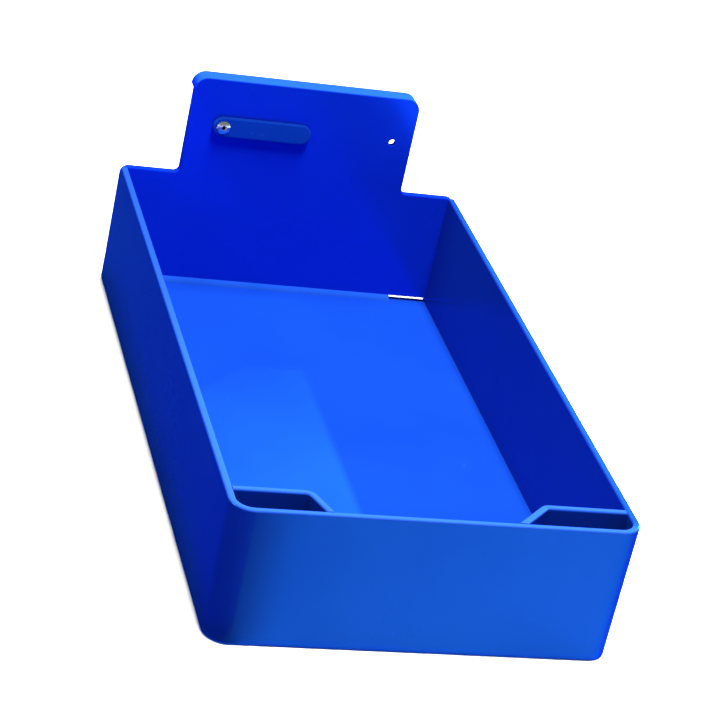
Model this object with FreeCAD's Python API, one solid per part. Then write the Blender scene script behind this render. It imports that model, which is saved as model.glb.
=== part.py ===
import FreeCAD, Part
import math
import os

# Hanging sheet-metal mud pan with two blade pockets and a riveted swivel link.
# Millimetres. +Z is up, +Y points to the hanger tab at the back, +X is right.
# The origin is the centre of the pan's footprint, on its underside.

V = FreeCAD.Vector

# Pan body
PAN_WIDTH = 165.0
PAN_LENGTH = 305.0
PAN_HEIGHT = 60.0
SHEET = 3.0
BEND_OUTER = 9.5
BEND_INNER = BEND_OUTER - SHEET
EDGE_ROUND = 0.8

# Hanger tab, which carries on upwards from the back plate
TAB_WIDTH = 110.0
TAB_RISE = 49.0
TAB_CORNER = 6.5
TAB_ROOT = 2.5
SHOULDER_CORNER = 4.0
LIP_DEPTH = 8.3
HOLE_RADIUS = 1.7
HOLE_ABOVE_RIM = 26.0
RIVET_X = -38.5
HANG_HOLE_X = 45.0

# Seam between the floor and the back plate: a bead that stops short of a small notch
NOTCH_LENGTH = 19.0
NOTCH_HEIGHT = 2.3
BEAD_LEG = 2.4

# Blade pockets: a joggled strip across each front corner; the two are not quite alike
POCKET_GAP = 12.0
LEFT_KINK_X = 50.0
LEFT_FOOT_ANGLE = math.radians(69)
RIGHT_KINK_X = 46.5
RIGHT_FOOT_ANGLE = math.radians(46)
STRIP_BEND_INNER = 2.0

# Swivel link and its blind rivet
LINK_WIDTH = 9.5
LINK_CENTRES = 37.7
LINK_THICKNESS = 2.0
LINK_EDGE_ROUND = 0.5
WASHER_RADIUS = 4.2
WASHER_THICKNESS = 0.6
AXIAL_PLAY = 0.05
PIVOT_PLAY = 0.05
SHANK_RADIUS = 1.6
HEAD_RADIUS = 3.2
HEAD_RIM = 0.35
HEAD_DOME = 0.75
BORE_RADIUS = 0.95
BULB_RADIUS = 2.5
BULB_LENGTH = 3.0
STEM_RADIUS = 0.9
STEM_RECESS = 0.5
STEM_HEAD_RADIUS = 1.45

# Derived planes
SIDE = PAN_WIDTH / 2
FRONT = -PAN_LENGTH / 2
BACK = PAN_LENGTH / 2
FLOOR_TOP = SHEET
INNER_SIDE = SIDE - SHEET
INNER_FRONT = FRONT + SHEET
BACK_FACE = BACK - SHEET
RIVET_Z = PAN_HEIGHT + HOLE_ABOVE_RIM
LINK_BACK = BACK_FACE - WASHER_THICKNESS - AXIAL_PLAY
LINK_FRONT = LINK_BACK - LINK_THICKNESS
HEAD_BACK = LINK_FRONT - AXIAL_PLAY


def rounded_wire(corners, place):
    """Closed wire through corners (u, v, radius), each rounded by a tangent arc."""
    edges = []
    starts = []
    ends = []
    count = len(corners)
    for i, (u, v, radius) in enumerate(corners):
        here = V(u, v, 0)
        before = V(corners[i - 1][0], corners[i - 1][1], 0) - here
        after = V(corners[(i + 1) % count][0], corners[(i + 1) % count][1], 0) - here
        before.normalize()
        after.normalize()
        if radius == 0:
            starts.append(here)
            ends.append(here)
            edges.append(None)
            continue
        half = before.getAngle(after) / 2
        reach = radius / math.tan(half)
        towards = before + after
        towards.normalize()
        middle = here + towards * (radius / math.sin(half) - radius)
        starts.append(here + before * reach)
        ends.append(here + after * reach)
        edges.append(Part.Arc(place(starts[-1]), place(middle), place(ends[-1])).toShape())
    loop = []
    for i in range(count):
        if edges[i] is not None:
            loop.append(edges[i])
        leave = place(ends[i])
        arrive = place(starts[(i + 1) % count])
        if leave.distanceToPoint(arrive) > 1e-6:
            loop.append(Part.LineSegment(leave, arrive).toShape())
    return Part.Wire(Part.__sortEdges__(loop))


def flat(point):
    """A plan point (x, y) on the plane z = 0."""
    return V(point.x, point.y, 0)


def upright(point):
    """An elevation point (x, z) on the back plate's front face."""
    return V(point.x, BACK_FACE, point.y)


def plan_prism(corners, bottom, top):
    """Upright prism on a rounded plan outline."""
    face = Part.Face(rounded_wire(corners, flat))
    face.translate(V(0, 0, bottom))
    return face.extrude(V(0, 0, top - bottom))


def elevation_prism(corners, depth):
    """Plate on a rounded elevation outline, running back from the back plate's front face."""
    face = Part.Face(rounded_wire(corners, upright))
    return face.extrude(V(0, depth, 0))


def cross_hole(x, z, radius, front, back):
    """Cylinder along Y for a hole through the tab or the link."""
    return Part.makeCylinder(radius, back - front, V(x, front, z), V(0, 1, 0))


def edges_at_height(solid, height, keep):
    """Edges that lie wholly at one height and whose middle passes the keep test."""
    found = []
    for edge in solid.Edges:
        box = edge.BoundBox
        level = abs(box.ZMin - height) < 1e-4 and abs(box.ZMax - height) < 1e-4
        if level and keep(box.Center):
            found.append(edge)
    return found


def footprint(inset, back, radius):
    """Plan outline of the pan, drawn in from its outside; only the front corners are round."""
    side = SIDE - inset
    front = FRONT + inset
    return [(-side, front, radius), (side, front, radius), (side, back, 0), (-side, back, 0)]


def floor_plate():
    """Bottom sheet, under the walls, with its lower outer edge eased."""
    plate = plan_prism(footprint(0, BACK, BEND_OUTER), 0, FLOOR_TOP)
    return plate.makeFillet(EDGE_ROUND, edges_at_height(plate, 0, lambda c: True))


def wall_band():
    """Front and side walls, bent from one strip, with a rounded rim."""
    outer = plan_prism(footprint(0, BACK_FACE, BEND_OUTER), FLOOR_TOP, PAN_HEIGHT)
    inner = plan_prism(footprint(SHEET, BACK, BEND_INNER), 0, PAN_HEIGHT + SHEET)
    band = outer.cut(inner).Solids[0]
    rim = edges_at_height(band, PAN_HEIGHT, lambda c: abs(c.y - BACK_FACE) > 1e-3)
    return band.makeFillet(EDGE_ROUND, rim)


def back_outline():
    """Elevation outline of the back plate and its tab."""
    half_tab = TAB_WIDTH / 2
    top = PAN_HEIGHT + TAB_RISE
    notch_top = FLOOR_TOP + NOTCH_HEIGHT
    notch_start = INNER_SIDE - NOTCH_LENGTH
    return [
        (-SIDE, FLOOR_TOP, 0),
        (-SIDE, PAN_HEIGHT, SHOULDER_CORNER),
        (-half_tab, PAN_HEIGHT, TAB_ROOT),
        (-half_tab, top, TAB_CORNER),
        (half_tab, top, TAB_CORNER),
        (half_tab, PAN_HEIGHT, TAB_ROOT),
        (SIDE, PAN_HEIGHT, SHOULDER_CORNER),
        (SIDE, FLOOR_TOP, 0),
        (INNER_SIDE, FLOOR_TOP, 0),
        (INNER_SIDE, notch_top, 0),
        (notch_start, notch_top, 0),
        (notch_start, FLOOR_TOP, 0),
    ]


def tab_lip():
    """Lip turned backwards along the top of the tab and round its two corners."""
    half_tab = TAB_WIDTH / 2
    top = PAN_HEIGHT + TAB_RISE
    low = top - TAB_CORNER
    outside = [
        (-half_tab, low - TAB_CORNER, 0),
        (-half_tab, top, TAB_CORNER),
        (half_tab, top, TAB_CORNER),
        (half_tab, low - TAB_CORNER, 0),
    ]
    inside = [
        (-half_tab + SHEET, low - 2 * TAB_CORNER, 0),
        (-half_tab + SHEET, top - SHEET, TAB_CORNER - SHEET),
        (half_tab - SHEET, top - SHEET, TAB_CORNER - SHEET),
        (half_tab - SHEET, low - 2 * TAB_CORNER, 0),
    ]
    ring = elevation_prism(outside, LIP_DEPTH).cut(elevation_prism(inside, LIP_DEPTH))
    below = Part.makeBox(PAN_WIDTH, LIP_DEPTH, TAB_CORNER, V(-SIDE, BACK_FACE, low - TAB_CORNER))
    return ring.cut(below).Solids[0]


def back_plate():
    """Back wall, hanger tab and turned lip in one sheet, with two drilled holes."""
    plate = elevation_prism(back_outline(), SHEET).fuse(tab_lip()).removeSplitter()
    for x in (RIVET_X, HANG_HOLE_X):
        plate = plate.cut(cross_hole(x, RIVET_Z, HOLE_RADIUS, BACK_FACE - 1, BACK + 1))
    plate = plate.Solids[0]
    # The rounding follows the tangent outline all the way round the front face.
    rim = edges_at_height(plate, PAN_HEIGHT, lambda c: abs(c.y - BACK_FACE) < 1e-3)
    return plate.makeFillet(EDGE_ROUND, rim)


def pocket_strip(side, kink_x, foot_angle):
    """Strip across a front corner: parallel to the front wall, then turned to meet it."""
    pocket_back = INNER_FRONT + POCKET_GAP
    strip_back = pocket_back + SHEET
    bend_shift = SHEET * math.tan(foot_angle / 2)
    foot_width = SHEET / math.sin(foot_angle)
    foot = kink_x - POCKET_GAP / math.tan(foot_angle)
    corners = [
        (INNER_SIDE, pocket_back, 0),
        (kink_x, pocket_back, STRIP_BEND_INNER),
        (foot, INNER_FRONT, 0),
        (foot - foot_width, INNER_FRONT, 0),
        (kink_x - bend_shift, strip_back, STRIP_BEND_INNER + SHEET),
        (INNER_SIDE, strip_back, 0),
    ]
    outline = [(side * x, y, radius) for x, y, radius in corners]
    strip = plan_prism(outline, FLOOR_TOP, PAN_HEIGHT)

    def free_edge(centre):
        at_side = abs(centre.x) > INNER_SIDE - 1e-3
        at_front = centre.y < INNER_FRONT + 1e-3
        return not at_side and not at_front

    return strip.makeFillet(EDGE_ROUND, edges_at_height(strip, PAN_HEIGHT, free_edge))


def seam_bead():
    """Bead in the corner between the floor and the back plate, ending at the notch."""
    left = -INNER_SIDE
    right = INNER_SIDE - NOTCH_LENGTH
    corner = V(left, BACK_FACE, FLOOR_TOP)
    on_floor = V(left, BACK_FACE - BEAD_LEG, FLOOR_TOP)
    on_plate = V(left, BACK_FACE, FLOOR_TOP + BEAD_LEG)
    crown = V(left, BACK_FACE - 0.6 * BEAD_LEG, FLOOR_TOP + 0.6 * BEAD_LEG)
    outline = Part.Wire([
        Part.LineSegment(corner, on_floor).toShape(),
        Part.Arc(on_floor, crown, on_plate).toShape(),
        Part.LineSegment(on_plate, corner).toShape(),
    ])
    return Part.Face(outline).extrude(V(right - left, 0, 0))


def swivel_link():
    """Flat link with round ends, which turns on the rivet."""
    half = LINK_WIDTH / 2
    bar = Part.makeBox(LINK_CENTRES, LINK_THICKNESS, LINK_WIDTH, V(RIVET_X, LINK_FRONT, RIVET_Z - half))
    for x in (RIVET_X, RIVET_X + LINK_CENTRES):
        bar = bar.fuse(cross_hole(x, RIVET_Z, half, LINK_FRONT, LINK_BACK))
    bar = bar.removeSplitter().Solids[0]
    front = [e for e in bar.Edges if abs(e.BoundBox.YMax - LINK_FRONT) < 1e-4]
    bar = bar.makeFillet(LINK_EDGE_ROUND, front)
    return bar.cut(cross_hole(RIVET_X, RIVET_Z, SHANK_RADIUS + PIVOT_PLAY, LINK_FRONT - 1, LINK_BACK + 1))


def link_washer():
    """Flat washer that keeps the link off the tab."""
    front = BACK_FACE - WASHER_THICKNESS
    ring = cross_hole(RIVET_X, RIVET_Z, WASHER_RADIUS, front, BACK_FACE)
    return ring.cut(cross_hole(RIVET_X, RIVET_Z, HOLE_RADIUS, front - 1, BACK_FACE + 1))


def turned(outline):
    """Solid of revolution about the rivet's axis from (radius, y) points.

    A point with a third value is the middle of an arc between its neighbours.
    """
    points = [V(RIVET_X + p[0], p[1], RIVET_Z) for p in outline]
    is_middle = [len(p) == 3 for p in outline]
    edges = []
    count = len(points)
    i = 0
    while i < count:
        after = (i + 1) % count
        if is_middle[after]:
            end = (i + 2) % count
            edges.append(Part.Arc(points[i], points[after], points[end]).toShape())
            i += 2
        else:
            edges.append(Part.LineSegment(points[i], points[after]).toShape())
            i += 1
    face = Part.Face(Part.Wire(edges))
    return face.revolve(V(RIVET_X, 0, RIVET_Z), V(0, 1, 0), 360)


def rivet_body():
    """Blind rivet: domed head, hollow shank, and the bulb set behind the tab."""
    rim_front = HEAD_BACK - HEAD_RIM
    crown = rim_front - HEAD_DOME
    mouth = BORE_RADIUS + 0.3
    bulb_end = BACK + BULB_LENGTH
    return turned([
        (BORE_RADIUS, crown + 0.3),
        (mouth, crown),
        (0.72 * HEAD_RADIUS, rim_front - 0.6 * HEAD_DOME, "arc"),
        (HEAD_RADIUS, rim_front),
        (HEAD_RADIUS, HEAD_BACK),
        (SHANK_RADIUS, HEAD_BACK),
        (SHANK_RADIUS, BACK),
        (BULB_RADIUS, BACK),
        (BULB_RADIUS, BACK + 0.5 * BULB_LENGTH),
        (SHANK_RADIUS, bulb_end),
        (BORE_RADIUS, bulb_end),
    ])


def rivet_stem():
    """Broken-off pulling stem, held in the rivet with its head behind the bulb."""
    front = HEAD_BACK - HEAD_RIM - HEAD_DOME + STEM_RECESS
    head_front = BACK + BULB_LENGTH
    head_back = head_front + STEM_HEAD_RADIUS
    slope = STEM_HEAD_RADIUS * math.sqrt(0.5)
    return turned([
        (0, front),
        (STEM_RADIUS, front),
        (STEM_RADIUS, head_front),
        (STEM_HEAD_RADIUS, head_front),
        (slope, head_front + slope, "arc"),
        (0, head_back),
    ])


pieces = {
    "floor_plate": floor_plate(),
    "wall_band": wall_band(),
    "back_plate": back_plate(),
    "left_pocket_strip": pocket_strip(-1, LEFT_KINK_X, LEFT_FOOT_ANGLE),
    "right_pocket_strip": pocket_strip(1, RIGHT_KINK_X, RIGHT_FOOT_ANGLE),
    "back_seam_bead": seam_bead(),
    "swivel_link": swivel_link(),
    "link_washer": link_washer(),
    "rivet_body": rivet_body(),
    "rivet_stem": rivet_stem(),
}

os.makedirs("parts", exist_ok=True)
for name, shape in pieces.items():
    solid = shape.Solids[0]
    box = solid.BoundBox
    print(
        f"{name}: solids {len(shape.Solids)}, valid {solid.isValid()}, volume {solid.Volume:.1f} mm3, "
        f"x {box.XMin:.2f}..{box.XMax:.2f}, y {box.YMin:.2f}..{box.YMax:.2f}, z {box.ZMin:.2f}..{box.ZMax:.2f}"
    )
    solid.exportStep(f"parts/{name}.step")
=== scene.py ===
import math
import bpy
from mathutils import Matrix, Vector


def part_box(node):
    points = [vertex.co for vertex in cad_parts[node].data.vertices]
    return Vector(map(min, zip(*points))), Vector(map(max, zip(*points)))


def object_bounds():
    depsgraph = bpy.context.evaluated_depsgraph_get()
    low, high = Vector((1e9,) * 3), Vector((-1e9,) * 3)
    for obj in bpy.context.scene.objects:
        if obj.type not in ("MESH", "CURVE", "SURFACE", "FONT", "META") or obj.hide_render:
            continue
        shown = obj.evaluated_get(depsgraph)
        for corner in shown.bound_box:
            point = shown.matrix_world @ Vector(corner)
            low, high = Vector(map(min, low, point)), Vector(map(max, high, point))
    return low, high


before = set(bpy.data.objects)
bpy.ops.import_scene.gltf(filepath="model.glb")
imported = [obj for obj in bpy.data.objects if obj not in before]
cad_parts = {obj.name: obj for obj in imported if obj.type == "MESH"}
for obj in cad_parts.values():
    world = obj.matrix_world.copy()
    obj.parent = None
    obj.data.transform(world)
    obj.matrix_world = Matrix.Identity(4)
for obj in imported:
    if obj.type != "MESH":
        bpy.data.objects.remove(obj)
cad_low, cad_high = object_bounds()
centre = (cad_low + cad_high) / 2
MM = 0.001

# Lacquer: where the top edges get a painted highlight, and the blues painted there; the rim blue also
# colours the chip specks
RIM_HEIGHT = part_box("wall_band")[1].z
PAINTED_EDGE_DEPTH = 2 * MM
LIP_HEIGHT = cad_high.z - 12 * MM
LACQUER_METALLIC = 0.45
# Rim blue is a painted highlight on the top edges and also the chip speck colour; lip blue is a painted
# highlight on the top lip
CHIP_AND_HIGHLIGHT_BLUE = (0.012, 0.055, 0.37)
LIP_HIGHLIGHT_BLUE = (0.01, 0.066, 0.31)

# Studio: the ground, and the cards that lie just above it round the pan
GROUND_HALF_WIDTH = 6.0
GROUND_DROP = 0.05 * MM
BEND_RADIUS = 9.5 * MM
CARD_REACH = 0.5
CARD_GAP = 0.5 * MM
CARD_HEIGHT = cad_low.z + 1 * MM
GLOW_CARD_HEIGHT = CARD_HEIGHT + 0.2 * MM
GLOW_CARD_START = 6 * MM
GLOW_CARD_FADE = 20 * MM
GLOW_STRENGTH = 3.55
CARD_EDGE_BEARING = 18.5
LEFT_BEARING = 125
BACK_BEARING = 185
FAN_STEPS = 12

# Camera: where it looks, from which side, and how it is turned about its own axis
CAMERA_TARGET = centre + Vector((2.2, -4.8, -7.7)) * MM
CAMERA_DISTANCE = 1.0955
CAMERA_AZIMUTH = math.radians(18.45)
CAMERA_ELEVATION = math.radians(26.46)
CAMERA_ROLL = math.radians(12.94)
CAMERA_LENS = 127.2


def add_camera():
    """Camera in front, to the left and above, leaning over to one side."""
    ahead = Vector((
        math.sin(CAMERA_AZIMUTH) * math.cos(CAMERA_ELEVATION),
        math.cos(CAMERA_AZIMUTH) * math.cos(CAMERA_ELEVATION),
        -math.sin(CAMERA_ELEVATION),
    ))
    level_right = Vector((math.cos(CAMERA_AZIMUTH), -math.sin(CAMERA_AZIMUTH), 0))
    right = Matrix.Rotation(-CAMERA_ROLL, 3, ahead) @ level_right
    up = right.cross(ahead)
    turn = Matrix((right, up, -ahead)).transposed()
    data = bpy.data.cameras.new("camera")
    data.lens = CAMERA_LENS
    data.sensor_width = 36.0
    camera = bpy.data.objects.new("camera", data)
    camera.matrix_world = Matrix.Translation(CAMERA_TARGET - ahead * CAMERA_DISTANCE) @ turn.to_4x4()
    bpy.context.scene.collection.objects.link(camera)
    bpy.context.scene.camera = camera


class Shader:
    """Short way to build a node material."""

    def __init__(self, name):
        self.material = bpy.data.materials.new(name)
        self.material.use_nodes = True
        self.tree = self.material.node_tree
        self.surface = next(n for n in self.tree.nodes if n.type == "BSDF_PRINCIPLED")

    def node(self, kind, inputs=None, **settings):
        made = self.tree.nodes.new(kind)
        for key, value in settings.items():
            setattr(made, key, value)
        for key, value in (inputs or {}).items():
            if isinstance(value, bpy.types.NodeSocket):
                self.tree.links.new(value, made.inputs[key])
            else:
                made.inputs[key].default_value = value
        return made

    def place(self):
        return self.node("ShaderNodeTexCoord").outputs["Object"]

    def noise(self, scale, detail=2.0, roughness=0.5):
        settings = {"Vector": self.place(), "Scale": scale, "Detail": detail, "Roughness": roughness}
        return self.node("ShaderNodeTexNoise", settings).outputs["Fac"]

    def span(self, value, low, high, out_low, out_high):
        settings = {
            "Value": value,
            "From Min": low,
            "From Max": high,
            "To Min": out_low,
            "To Max": out_high,
        }
        return self.node("ShaderNodeMapRange", settings).outputs["Result"]

    def blend(self, factor, first, second):
        made = self.node("ShaderNodeMix", data_type="RGBA")
        self.tree.links.new(factor, made.inputs["Factor"])
        for socket, colour in ((made.inputs[6], first), (made.inputs[7], second)):
            if isinstance(colour, bpy.types.NodeSocket):
                self.tree.links.new(colour, socket)
            else:
                socket.default_value = (*colour, 1)
        return made.outputs[2]

    def bump(self, height, distance, strength, normal=None):
        settings = {"Height": height, "Distance": distance, "Strength": strength}
        if normal is not None:
            settings["Normal"] = normal
        return self.node("ShaderNodeBump", settings).outputs["Normal"]

    def times(self, first, second):
        return self.node("ShaderNodeMath", {0: first, 1: second}, operation="MULTIPLY").outputs["Value"]

    def top_edges(self, lowest):
        """Mask for the painted edge tone: one on faces that look up above a height, zero elsewhere and
        along the right wall.
        """
        place = self.node("ShaderNodeSeparateXYZ", {"Vector": self.place()})
        facing = self.node("ShaderNodeTexCoord").outputs["Normal"]
        facing = self.node("ShaderNodeSeparateXYZ", {"Vector": facing})
        high = self.span(place.outputs["Z"], lowest, lowest + 0.5 * MM, 0.0, 1.0)
        up = self.span(facing.outputs["Z"], 0.25, 0.8, 0.0, 1.0)
        # The right wall's rim gets no painted highlight
        unpainted_from_x = cad_high.x - 3 * MM
        left = self.span(place.outputs["X"], unpainted_from_x - 0.5 * MM, unpainted_from_x, 1.0, 0.0)
        front = self.span(place.outputs["Y"], cad_low.y + 3.5 * MM, cad_low.y + 9 * MM, 1.0, 0.0)
        painted_sides = self.node("ShaderNodeMath", {0: left, 1: front}, operation="MAXIMUM").outputs["Value"]
        return self.times(self.times(high, up), painted_sides)

    def scuffs(self):
        """Sparse specks where the lacquer has been chipped or scratched."""
        stretched = self.node("ShaderNodeMapping", {"Vector": self.place(), "Scale": (1.0, 0.35, 1.0)})
        settings = {"Vector": stretched.outputs["Vector"], "Scale": 420.0, "Detail": 2.0}
        specks = self.node("ShaderNodeTexNoise", settings).outputs["Fac"]
        specks = self.span(specks, 0.7, 0.76, 0.0, 1.0)
        patches = self.span(self.noise(22.0, 1.0), 0.55, 0.65, 0.0, 0.6)
        return self.times(specks, patches)

    def fix(self, name, value):
        """Sets a constant on the surface shader's own socket."""
        self.surface.inputs[name].default_value = value

    def drive(self, name, output):
        """Links a texture to a socket of the surface shader."""
        self.tree.links.new(output, self.surface.inputs[name])


def blue_lacquer(name, pale, deep, painted_edge_tone, gloss=(0.14, 0.2), painted_edge_from=RIM_HEIGHT - PAINTED_EDGE_DEPTH):
    """Glossy blue lacquer over sheet metal, with chip specks, and a painted tone on top edges above a
    height: a painted highlight on rims and lip, a painted dark line of shade on the link.
    """
    s = Shader(name)
    drift = s.span(s.noise(14.0, 3.0), 0.35, 0.65, 0.0, 1.0)
    clean = s.blend(s.scuffs(), s.blend(drift, deep, pale), CHIP_AND_HIGHLIGHT_BLUE)
    # Top edges get a painted tone: painted highlight on rims and lip, painted shade on the link
    colour = s.blend(s.top_edges(painted_edge_from), clean, painted_edge_tone)
    s.drive("Base Color", colour)
    s.drive("Roughness", s.span(s.noise(60.0, 6.0, 0.65), 0.45, 0.75, *gloss))
    peel = s.bump(s.noise(900.0, 2.0), 0.02 * MM, 0.35)
    sag = s.bump(s.noise(45.0, 1.0), 0.15 * MM, 0.25, peel)
    s.drive("Normal", sag)
    s.fix("Metallic", LACQUER_METALLIC)
    s.fix("Specular IOR Level", 0.0)
    s.fix("Specular Tint", (0.02, 0.2, 1.0, 1))
    return s.material


def bare_metal(name, pale, deep, roughness):
    """Turned or drawn bare metal with fine grain."""
    s = Shader(name)
    grain = s.noise(2500.0, 3.0)
    s.drive("Base Color", s.blend(grain, deep, pale))
    s.drive("Roughness", s.span(grain, 0.3, 0.7, roughness * 0.75, roughness * 1.3))
    s.drive("Normal", s.bump(grain, 0.01 * MM, 0.4))
    s.fix("Metallic", 1.0)
    return s.material


def paint_nodes():
    """Puts a finish on every CAD node."""
    floor = blue_lacquer("floor_lacquer", (0.0035, 0.036, 0.31), (0.003, 0.032, 0.29), CHIP_AND_HIGHLIGHT_BLUE)
    # Painted shade: walls and pocket strips are a darker copy of the floor's blue, with a painted
    # highlight on the rims
    wall = blue_lacquer("wall_lacquer_painted_darker", (0.0045, 0.036, 0.272), (0.0038, 0.032, 0.255), CHIP_AND_HIGHLIGHT_BLUE)
    # Painted light: the back plate is a lighter copy of the same blue lacquer, with a painted highlight
    # on its top lip
    back = blue_lacquer(
        "back_lacquer_painted_lighter",
        (0.0018, 0.022, 0.45),
        (0.0015, 0.019, 0.43),
        LIP_HIGHLIGHT_BLUE,
        painted_edge_from=LIP_HEIGHT,
    )
    # Painted highlight: the seam bead is a paler blue than the floor
    bead = blue_lacquer(
        "bead_lacquer_painted_highlight",
        (0.01, 0.066, 0.41),
        (0.006, 0.048, 0.36),
        CHIP_AND_HIGHLIGHT_BLUE,
        gloss=(0.38, 0.5),
    )
    link = blue_lacquer(
        "link_lacquer",
        (0.0026, 0.038, 0.31),
        (0.0024, 0.035, 0.29),
        # Painted shade: a dark line along the link's top edges
        (0.0015, 0.014, 0.14),
        gloss=(0.3, 0.42),
    )
    washer = bare_metal("washer_steel_grain", (0.6, 0.61, 0.63), (0.45, 0.46, 0.48), 0.35)
    rivet = bare_metal("rivet_aluminium_grain", (0.9, 0.92, 0.95), (0.75, 0.78, 0.82), 0.25)
    stem = bare_metal("stem_steel_grain", (0.03, 0.03, 0.034), (0.015, 0.015, 0.018), 0.5)
    finish = {
        "floor_plate": floor,
        "wall_band": wall,
        "back_plate": back,
        "left_pocket_strip": wall,
        "right_pocket_strip": wall,
        "back_seam_bead": bead,
        "swivel_link": link,
        "link_washer": washer,
        "rivet_body": rivet,
        "rivet_stem": stem,
    }
    for node, material in finish.items():
        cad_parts[node].material_slots[0].material = material


def add_floor():
    """Wide pale ground just under the pan."""
    half = GROUND_HALF_WIDTH
    low = cad_low.z - GROUND_DROP
    corners = [(-half, -half, low), (half, -half, low), (half, half, low), (-half, half, low)]
    mesh = bpy.data.meshes.new("studio_floor")
    mesh.from_pydata(corners, [], [(0, 1, 2, 3)])
    floor = bpy.data.objects.new("studio_floor", mesh)
    bpy.context.scene.collection.objects.link(floor)
    s = Shader("studio_floor_white")
    s.drive("Base Color", s.blend(s.noise(3.0, 2.0), (0.58, 0.58, 0.58), (0.6, 0.6, 0.6)))
    s.fix("Roughness", 0.85)
    s.fix("Specular IOR Level", 0.2)
    mesh.materials.append(s.material)


def add_card(name, corners, material, bounces=True):
    """Flat card just above the ground, seen by the pan and not by the camera."""
    mesh = bpy.data.meshes.new(name)
    mesh.from_pydata(corners, [], [tuple(range(len(corners)))])
    mesh.materials.append(material)
    card = bpy.data.objects.new(name, mesh)
    bpy.context.scene.collection.objects.link(card)
    card.visible_camera = False
    card.visible_shadow = False
    card.visible_diffuse = bounces


def add_flag(name, start, end, shade):
    """Dark fan-shaped card round the front left bend, between two bearings in degrees.

    A bearing of 0 is straight out from the front wall, and 90 is straight out from the left wall.
    """
    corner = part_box("wall_band")[0]
    hub = Vector((corner.x + BEND_RADIUS, corner.y + BEND_RADIUS, CARD_HEIGHT))
    corners = [hub]
    for step in range(FAN_STEPS + 1):
        bearing = math.radians(start + (end - start) * step / FAN_STEPS)
        corners.append(hub + CARD_REACH * Vector((-math.sin(bearing), -math.cos(bearing), 0)))
    s = Shader(name + "_felt")
    s.fix("Base Color", (*shade, 1))
    s.fix("Roughness", 1.0)
    add_card(name, corners, s.material)


def add_glow_card():
    """Bright L-shaped card in front and to the right of the pan, dimmer along its slanted left edge."""
    low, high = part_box("wall_band")
    left = low.x + GLOW_CARD_START
    front = low.y - CARD_REACH
    right = high.x + CARD_REACH
    slant = math.tan(math.radians(CARD_EDGE_BEARING))
    outline = [
        (left + slant * CARD_REACH, front),
        (right, front),
        (right, high.y),
        (high.x + CARD_GAP, high.y),
        (high.x + CARD_GAP, low.y - CARD_GAP),
        (left + slant * CARD_GAP, low.y - CARD_GAP),
    ]
    corners = [(x, y, GLOW_CARD_HEIGHT) for x, y in outline]
    s = Shader("front_card_glow")
    place = s.node("ShaderNodeSeparateXYZ", {"Vector": s.place()})
    s.fix("Base Color", (0, 0, 0, 1))
    s.fix("Emission Color", (0.57, 1.02, 0.74, 1))
    lean = s.times(place.outputs["Y"], slant)
    across = s.node("ShaderNodeMath", {0: place.outputs["X"], 1: lean}).outputs["Value"]
    edge = left + slant * low.y
    fade = s.span(across, edge, edge + GLOW_CARD_FADE, 0.1, 1.0)
    s.drive("Emission Strength", s.times(fade, GLOW_STRENGTH))
    add_card("front_card", corners, s.material, bounces=False)


def add_cards():
    """Cards that shape what the pan's outside reflects: dark at the left, bright in front."""
    add_flag("navy_flag", -CARD_EDGE_BEARING, LEFT_BEARING, (0.001, 0.004, 0.13))
    add_flag("grey_flag", LEFT_BEARING, BACK_BEARING, (0.2, 0.165, 0.155))
    add_glow_card()


def place_lamp(data, place, aim):
    """Hangs a lamp and points it at a place."""
    lamp = bpy.data.objects.new(data.name, data)
    turn = (Vector(aim) - Vector(place)).to_track_quat("-Z", "Y")
    lamp.matrix_world = Matrix.Translation(place) @ turn.to_matrix().to_4x4()
    bpy.context.scene.collection.objects.link(lamp)
    return lamp


def add_softbox(name, place, aim, size, power, glare=True):
    """Soft rectangular lamp, which glossy surfaces mirror only if it may glare."""
    data = bpy.data.lights.new(name, "AREA")
    data.shape = "RECTANGLE"
    data.size, data.size_y = size
    data.energy = power
    place_lamp(data, place, aim).visible_glossy = glare


def add_spot(name, place, aim, spread, radius, power):
    """Narrow spotlight that fades to its edge."""
    data = bpy.data.lights.new(name, "SPOT")
    data.spot_size = math.radians(spread)
    data.spot_blend = 1.0
    data.shadow_soft_size = radius
    data.energy = power
    place_lamp(data, place, aim)


def add_studio():
    """White surround, a softbox overhead, a weak one to the left and a spotlight from the back right."""
    world = bpy.data.worlds.new("studio_surround")
    world.use_nodes = True
    backdrop = world.node_tree.nodes["Background"]
    backdrop.inputs["Color"].default_value = (1, 1, 1, 1)
    backdrop.inputs["Strength"].default_value = 0.2
    bpy.context.scene.world = world
    add_softbox(
        "overhead_softbox",
        place=(0.04, -0.12, 1.6),
        aim=(0.04, -0.12, 0),
        size=(0.3, 0.9),
        power=160.0,
        glare=False,
    )
    add_softbox("left_softbox", place=(-1.6, 0.2, 1.0), aim=centre, size=(0.6, 0.6), power=18.0)
    add_spot(
        "back_spotlight",
        place=(1.21, 1.3, 0.87),
        aim=(-0.06, -0.19, 0),
        spread=10.6,
        radius=0.02,
        power=1800.0,
    )
    bpy.context.scene.view_settings.view_transform = "Standard"


add_camera()
paint_nodes()
add_floor()
add_cards()
add_studio()
